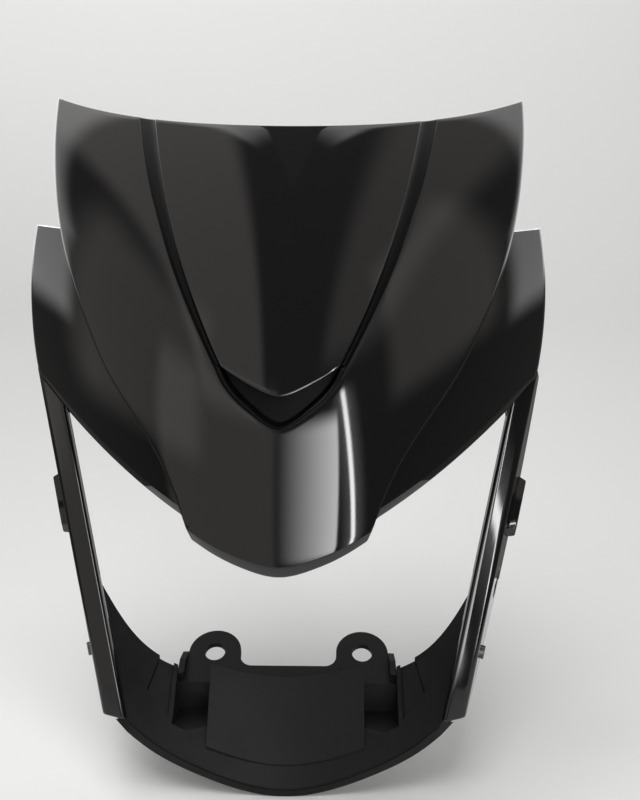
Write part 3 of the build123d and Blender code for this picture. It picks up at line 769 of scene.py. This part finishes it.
def arm_directions(a):
    """Unit directions of an arm: along it, back along its wall, inwards along its strip, and both normals."""
    along = np.array(a.end) - np.array(a.top)
    along /= np.linalg.norm(along)
    flare = np.array([math.sin(a.flare), math.cos(a.flare), 0.0])
    flare -= along * (flare @ along)
    flare /= np.linalg.norm(flare)
    inward = np.array([-1.0, 0.0, 0.0])
    inward -= along * (inward @ along)
    inward /= np.linalg.norm(inward)
    return along, flare, inward, np.cross(along, flare), np.cross(along, inward)


def arm_length(a):
    """Length of an arm's outer edge."""
    return np.linalg.norm(np.array(a.end) - np.array(a.top))


def arm_strip(a, rows):
    """Lip and strip of an arm: one section carried along it, longer on its inner side for the slanted tip.

    The turn into the side wall is a parabola, and the turn into the lip a quarter circle.
    """
    along, flare, inward, _, strip_normal = arm_directions(a)
    r = a.edge_round
    turn = np.linspace(0, math.pi / 2, 6)
    bend = np.linspace(0, 1, 7)
    reach = 1.3 * r
    flat = np.linspace(a.strip - r, reach, 7)[1:-1]
    lip_back = np.linspace(a.lip, r, 4)[:-1]
    inner = np.concatenate([
        np.full(3, a.strip), a.strip - r * (1 - np.cos(turn)), flat, reach * (1 - bend) ** 2])
    behind = np.concatenate([lip_back, r * (1 - np.sin(turn)), np.zeros(12)])
    outer = np.concatenate([np.zeros(14), reach * bend ** 2])
    total = arm_length(a) + a.slant * inner / a.strip
    distance = a.start + (total[None] - a.start) * np.linspace(0, 1, rows)[:, None]
    section = inner[:, None] * inward + behind[:, None] * strip_normal + outer[:, None] * flare
    return np.array(a.top) + distance[..., None] * along + section[None]


def arm_wall(a, rows, columns):
    """Side wall of an arm: rows across it, each as deep as a smooth curve over the distance from the wing.

    Gives the grid with the distance of each row and the setback of each point.
    """
    along, flare = arm_directions(a)[:2]
    total = arm_length(a)
    rise = a.depth_top + ARM_RISE_SHARE * (a.depth_mid - a.depth_top)
    fall = a.depth_mid + ARM_FALL_SHARE * (a.depth_end - a.depth_mid)
    points = [
        (a.start, a.depth_top), (ARM_RISE_AT * a.mid_at, rise), (a.mid_at, a.depth_mid),
        (0.5 * (a.mid_at + total), fall), (total, a.depth_end)]
    curve = smooth_curve(points, 300)
    distance = np.linspace(a.start, total, rows)
    depth = np.interp(distance, curve[:, 0], curve[:, 1])[:, None]
    near = 1.3 * a.edge_round
    back = near + (depth - near) * np.linspace(0, 1, columns)[None]
    grid = np.array(a.top) + distance[:, None, None] * along + back[..., None] * flare
    return grid, distance, back


def arm_web(a, wall):
    """Three-sided web behind the strip's upper end, narrowing along the arm to nothing."""
    along, _, inward, _, strip_normal = arm_directions(a)
    t = np.linspace(0, 1, 20)[:, None]
    across = np.linspace(0, 1, 6)[None]
    distance = a.start + a.web_length * t + 0 * across
    inner = a.strip - wall + (a.web_width + wall) * (1 - t) * across
    front = np.array(a.top) + (a.lip - wall) * strip_normal
    return front + distance[..., None] * along + inner[..., None] * inward


def cell_block(distance, back, at, setback, half_length, half_width):
    """First and last row and column of the wall's cells about a place."""
    rows = np.flatnonzero(np.abs(distance - at) < half_length)
    middle = back[(rows[0] + rows[-1]) // 2]
    columns = np.flatnonzero(np.abs(middle - setback) < half_width)
    return rows[0], rows[-1], columns[0], columns[-1]


def block_rings(wall, block, centre, normal, reach, steps):
    """Fills a block of cells with rings: the block's own edge, then the outline at each step.

    A step's radius is share * reach + grow, and lift is its height above the wall.
    """
    i0, i1, j0, j1 = block
    edge = np.concatenate([
        wall[i0, j0:j1], wall[i0:i1, j1], wall[i1, j1:j0:-1], wall[i1:i0:-1, j0], wall[i0:i0 + 1, j0]])
    spoke = edge - centre
    spoke /= np.linalg.norm(spoke, axis=1, keepdims=True)
    far = reach(spoke)[:, None]
    share, grow, lift = np.array(steps).T[..., None, None]
    rings = centre + spoke * (share * far + grow) + normal * lift
    return np.concatenate([edge[None], rings])


def cup_rings(a, wall, distance, back):
    """Round recess with a hole in its floor, and the block of cells that it takes."""
    along, flare, _, normal, _ = arm_directions(a)
    half = a.recess_radius + 0.003
    block = cell_block(distance, back, a.hole_at, a.hole_back, half, half)
    centre = np.array(a.top) + a.hole_at * along + a.hole_back * flare
    edge = 0.0008
    deep = a.recess_depth
    steps = [
        (1, edge, 0), (1, 0.3 * edge, -0.3 * edge), (1, 0, -edge), (1, 0, edge - deep),
        (1, -0.3 * edge, 0.3 * edge - deep), (1, -edge, -deep), (1, a.hole_radius - a.recess_radius, -deep)]

    def reach(spoke):
        """The same radius along every spoke."""
        return np.full(len(spoke), a.recess_radius)

    return block, block_rings(wall, block, centre, normal, reach, steps)


def blister_reach(a, spoke):
    """Distance from the blister's middle to its six-sided outline along each spoke."""
    along, flare = arm_directions(a)[:2]
    half = 0.5 * a.blister_length
    side = 0.5 * a.blister_width
    corners = np.array([
        (half, 0), (0.7 * half, side), (-0.1 * half, side),
        (-half, 0), (-0.1 * half, -side), (0.7 * half, -side)])
    edges = np.roll(corners, -1, axis=0) - corners
    normals = np.stack([edges[:, 1], -edges[:, 0]], axis=1)
    offset = (normals * corners).sum(axis=1)
    heading = np.stack([spoke @ along, spoke @ flare], axis=1) @ normals.T
    reach = np.where(heading > 1e-9, offset / np.maximum(heading, 1e-9), np.inf)
    return reach.min(axis=1)


def blister_rings(a, wall, distance, back):
    """Raised six-sided blister with sloping sides, and the block of cells that it takes."""
    along, flare, _, normal, _ = arm_directions(a)
    margin = 0.003
    half_length = 0.5 * a.blister_length + margin
    half_width = 0.5 * a.blister_width + margin
    block = cell_block(distance, back, a.blister_at, a.blister_back, half_length, half_width)
    centre = np.array(a.top) + a.blister_at * along + a.blister_back * flare
    high = a.blister_height
    steps = [
        (1, 0.0006, 0), (1, 0.0002, 0.03 * high), (1, -0.0002, 0.15 * high), (1, -0.0014, 0.82 * high),
        (1, -0.0018, 0.95 * high), (1, -0.0025, high), (0.5, -0.00125, high), (0, 0, high)]
    return block, block_rings(wall, block, centre, normal, lambda spoke: blister_reach(a, spoke), steps)


def around_blocks(wall, blocks):
    """The wall's cells that no block takes, as grids; the blocks come in order of their rows."""
    grids = []
    row = 0
    for i0, i1, j0, j1 in blocks:
        grids += [wall[row:i0 + 1], wall[i0:i1 + 1, :j0 + 1], wall[i0:i1 + 1, j1:]]
        row = i1
    return grids + [wall[row:]]


class COWL_OT_arms(bpy.types.Operator):
    """Builds both arms with their side walls, blisters and recessed holes"""

    bl_idname = "cowl.arms"
    bl_label = "Arms"

    def execute(self, context):
        a = context.scene.cowl_arms
        thick = context.scene.cowl_skin.wall
        rows = 171
        wall, distance, back = arm_wall(a, rows, 49)
        blister_block, blister = blister_rings(a, wall, distance, back)
        cup_block, cup = cup_rings(a, wall, distance, back)
        out = arm_directions(a)[3]
        sides = around_blocks(wall, [blister_block, cup_block]) + [blister, cup]
        grids = [facing(grid, out) for grid in sides]
        grids += [facing(arm_strip(a, rows), (0, -1, 0)), facing(arm_web(a, thick), (0, -1, 0))]
        grids = mirrored(grids)
        looks = ("gloss_black", "raw_plastic")
        piece = make_piece("arms", grids, looks, "front_cowl", [0] * len(grids))
        thicken(piece, thick)
        return {"FINISHED"}


def dress_node(node, look):
    """Gives a solid of the frame a finer finish."""
    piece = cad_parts[node]
    piece.data.materials.clear()
    piece.data.materials.append(finish(look))


class COWL_OT_cover(bpy.types.Operator):
    """Finishes the lower cover and its ears"""

    bl_idname = "cowl.cover"
    bl_label = "Lower cover"

    def execute(self, context):
        dress_node("lower_cover", "matt_black")
        return {"FINISHED"}


class COWL_OT_screws(bpy.types.Operator):
    """Finishes the screws that hold the lower cover"""

    bl_idname = "cowl.screws"
    bl_label = "Screws"

    def execute(self, context):
        dress_node("cover_screws", "dark_steel")
        return {"FINISHED"}


def stage_object(name, grid, material):
    """Mesh object of the stage."""
    mesh = make_mesh(name, [grid], np.zeros(3), [0])
    mesh.materials.append(material)
    item = bpy.data.objects.new(name, mesh)
    bpy.context.scene.collection.objects.link(item)
    return item


def cove_grid(floor_z, wide, near, far, high, radius):
    """Floor that curves up into a backdrop: a line, a quarter circle and a line, carried sideways."""
    turn = np.linspace(0, math.pi / 2, 16)
    y = np.concatenate([[near], far - radius + radius * np.sin(turn), [far]])
    z = floor_z + np.concatenate([[0.0], radius - radius * np.cos(turn), [high]])
    x = np.linspace(-wide, wide, 3)[:, None]
    return np.stack(np.broadcast_arrays(x, y[None], z[None]), axis=-1)


def pale_floor():
    """Even pale paper."""
    material = bpy.data.materials.new("pale_floor")
    material.use_nodes = True
    shader = material.node_tree.nodes["Principled BSDF"]
    shader.inputs["Base Color"].default_value = (*bpy.context.scene.cowl_finish.floor, 1.0)
    shader.inputs["Roughness"].default_value = 0.9
    return material


def window(value, low, high, soft):
    """1 between two values, easing to 0 over soft outside them."""
    return smooth_step((value - low) / soft + 1) * smooth_step((high - value) / soft + 1)


def dome_light(turn, rise):
    """Brightness of the reflector dome by turn and rise in degrees, as warm and as neutral light.

    A card in front grows brighter to its right end, with a rod beside it.  Dim panels hang on either side,
    set by side, the dome's sideways share, and pale walls close the dome far out to the left and right.
    """
    side = np.cos(np.radians(rise)) * np.sin(np.radians(turn))
    card_end = 29.3 - 0.08 * rise
    growth = np.clip((turn + 5) / (card_end + 5), 0, 1) ** 1.3
    card = growth * window(turn, -5, card_end, 1.2) * window(rise, -25, 16, 8)
    rod_turn = turn - 36.6 + 0.2 * rise
    rod = window(rod_turn, -0.8, 0.8, 0.5) * window(rise, -27, 27, 2)
    haze = window(rod_turn, -1, 1, 7) * window(rise, -30, 24, 8)
    low_left = window(turn, -62, -8, 6) * window(rise, -40, 24, 12)
    left = window(side, -0.6, -0.22, 0.07) * window(rise, 30, 95, 14)
    far_left = window(turn, -92, -52, 12) * window(rise, 8, 40, 12)
    right = window(side, 0.34, 0.58, 0.12) * window(rise, 46, 95, 14)
    far_right = window(turn, 60, 90, 10) * window(rise, 22, 52, 10)
    wall_line = 102 + np.maximum(rise - 34, 0)
    wall = window(np.abs(turn), wall_line, 170, 5) * window(rise, 18, 73, 6)
    warm = 0.12 + 0.65 * left + 0.5 * far_left + 0.4 * right + 0.5 * far_right + 0.55 * low_left
    return warm, 11 * card + 20 * rod + 1.0 * haze + 1.8 * wall


def dome_grid(turn, rise):
    """Part of a sphere about the nose, by turn and rise in radians."""
    flat = np.cos(rise)
    points = np.stack([flat * np.sin(turn), -flat * np.cos(turn), np.sin(rise)], axis=-1)
    return DOME_RADIUS * points + DRAWING_ZERO + DOME_MIDDLE


def reflector_dome():
    """Dome that only the gloss sees: its brightness is painted into an attribute of its points."""
    turn, rise = np.meshgrid(np.linspace(-160, 160, 641), np.linspace(-33, 90, 124), indexing="ij")
    material = bpy.data.materials.new("reflector")
    material.use_nodes = True
    nodes = material.node_tree.nodes
    shader = nodes["Principled BSDF"]
    shader.inputs["Base Color"].default_value = (0.0, 0.0, 0.0, 1.0)
    shader.inputs["Specular IOR Level"].default_value = 0.0
    shader.inputs["Emission Strength"].default_value = 1.0
    painted = nodes.new("ShaderNodeAttribute")
    painted.attribute_name = "light"
    material.node_tree.links.new(painted.outputs["Color"], shader.inputs["Emission Color"])
    dome = stage_object("reflector_dome", dome_grid(np.radians(turn), np.radians(rise)), material)
    warm, neutral = dome_light(turn, rise)
    colour = warm[..., None] * WARM_TINT + neutral[..., None]
    opaque = np.ones_like(colour[..., :1])
    light = dome.data.attributes.new("light", "FLOAT_COLOR", "POINT")
    light.data.foreach_set("color", np.concatenate([colour, opaque], axis=-1).ravel())
    dome.visible_camera = False
    dome.visible_diffuse = False
    dome.visible_shadow = False


def area_lamp(name, spot, aim, width, height, power):
    """Rectangular lamp that looks at a point and doesn't show in the gloss."""
    lamp = bpy.data.lights.new(name, "AREA")
    lamp.shape = "RECTANGLE"
    lamp.size = width
    lamp.size_y = height
    lamp.energy = power
    holder = bpy.data.objects.new(name, lamp)
    holder.location = spot
    holder.rotation_euler = (Vector(aim) - Vector(spot)).to_track_quat("-Z", "Y").to_euler()
    holder.visible_glossy = False
    bpy.context.scene.collection.objects.link(holder)


def photo_camera():
    """Camera at the photograph's place: aim point, elevation, turn, tilt, distance and focal length."""
    aim = np.array([0.0209, 0.030, 0.0]) + DRAWING_ZERO
    rise = math.radians(12)
    turn = math.radians(0.23)
    tilt = math.radians(0.42)
    away = 0.4039
    back = np.array([math.sin(turn) * math.cos(rise), -math.cos(turn) * math.cos(rise), math.sin(rise)])
    level = np.array([math.cos(turn), math.sin(turn), 0.0])
    upright = np.cross(back, level)
    right = level * math.cos(tilt) + upright * math.sin(tilt)
    up = upright * math.cos(tilt) - level * math.sin(tilt)
    data = bpy.data.cameras.new("photo_camera")
    data.sensor_width = 36.0
    data.lens = 34.2
    data.clip_start = 0.01
    camera = bpy.data.objects.new("photo_camera", data)
    turned = Matrix(np.stack([right, up, back], axis=1).tolist()).to_4x4()
    camera.matrix_world = Matrix.Translation(Vector(aim + back * away)) @ turned
    bpy.context.scene.collection.objects.link(camera)
    bpy.context.scene.camera = camera


class COWL_OT_stage(bpy.types.Operator):
    """Sets the floor, backdrop, reflector, lamps, world and camera"""

    bl_idname = "cowl.stage"
    bl_label = "Stage"

    def execute(self, context):
        scene = context.scene
        floor_z = CAD_BOX[0][2]
        stage_object("cove", facing(cove_grid(floor_z, 2.5, -1.6, 0.55, 2.2, 0.25), (0, -1, 1)), pale_floor())
        reflector_dome()
        area_lamp("overhead", (-0.3, -0.4, 1.5), (0, 0, 0.15), 1.2, 0.9, 22)
        area_lamp("side_fill", (0.9, -1.1, 0.5), (0, 0, 0.15), 0.4, 0.9, 5)
        world = bpy.data.worlds.new("room")
        world.use_nodes = True
        world.node_tree.nodes["Background"].inputs["Color"].default_value = (0.25, 0.25, 0.26, 1.0)
        world.node_tree.nodes["Background"].inputs["Strength"].default_value = 0.6
        scene.world = world
        scene.view_settings.view_transform = "Standard"
        photo_camera()
        return {"FINISHED"}


class COWL_PT_build(bpy.types.Panel):
    """Lists the cowl's pieces and sizes"""

    bl_label = "Headlight cowl"
    bl_idname = "COWL_PT_build"
    bl_space_type = "VIEW_3D"
    bl_region_type = "UI"
    bl_category = "Cowl"

    def draw(self, context):
        for operator in OPERATORS:
            self.layout.operator(operator.bl_idname)
        for name, group in GROUPS.items():
            box = self.layout.box()
            box.label(text=group.__doc__)
            for entry in group.__annotations__:
                box.prop(getattr(context.scene, name), entry)


GROUPS = {
    "cowl_skin": CowlSkin,
    "cowl_visor": CowlVisor,
    "cowl_groove": CowlGroove,
    "cowl_wings": CowlWings,
    "cowl_arms": CowlArms,
    "cowl_finish": CowlFinish,
}
OPERATORS = (COWL_OT_visor, COWL_OT_wings, COWL_OT_arms, COWL_OT_cover, COWL_OT_screws, COWL_OT_stage)
CLASSES = (*GROUPS.values(), *OPERATORS, COWL_PT_build)


def register():
    """Registers the classes and puts the groups of sizes on the scene."""
    for item in CLASSES:
        bpy.utils.register_class(item)
    for name, group in GROUPS.items():
        setattr(bpy.types.Scene, name, bpy.props.PointerProperty(type=group))


def unregister():
    """Takes the groups and classes away again."""
    for name in GROUPS:
        delattr(bpy.types.Scene, name)
    for item in reversed(CLASSES):
        bpy.utils.unregister_class(item)


def main():
    """Registers the add-on, then builds every piece and the stage."""
    register()
    bpy.ops.cowl.visor()
    bpy.ops.cowl.wings()
    bpy.ops.cowl.arms()
    bpy.ops.cowl.cover()
    bpy.ops.cowl.screws()
    bpy.ops.cowl.stage()


if __name__ == "__main__":
    main()
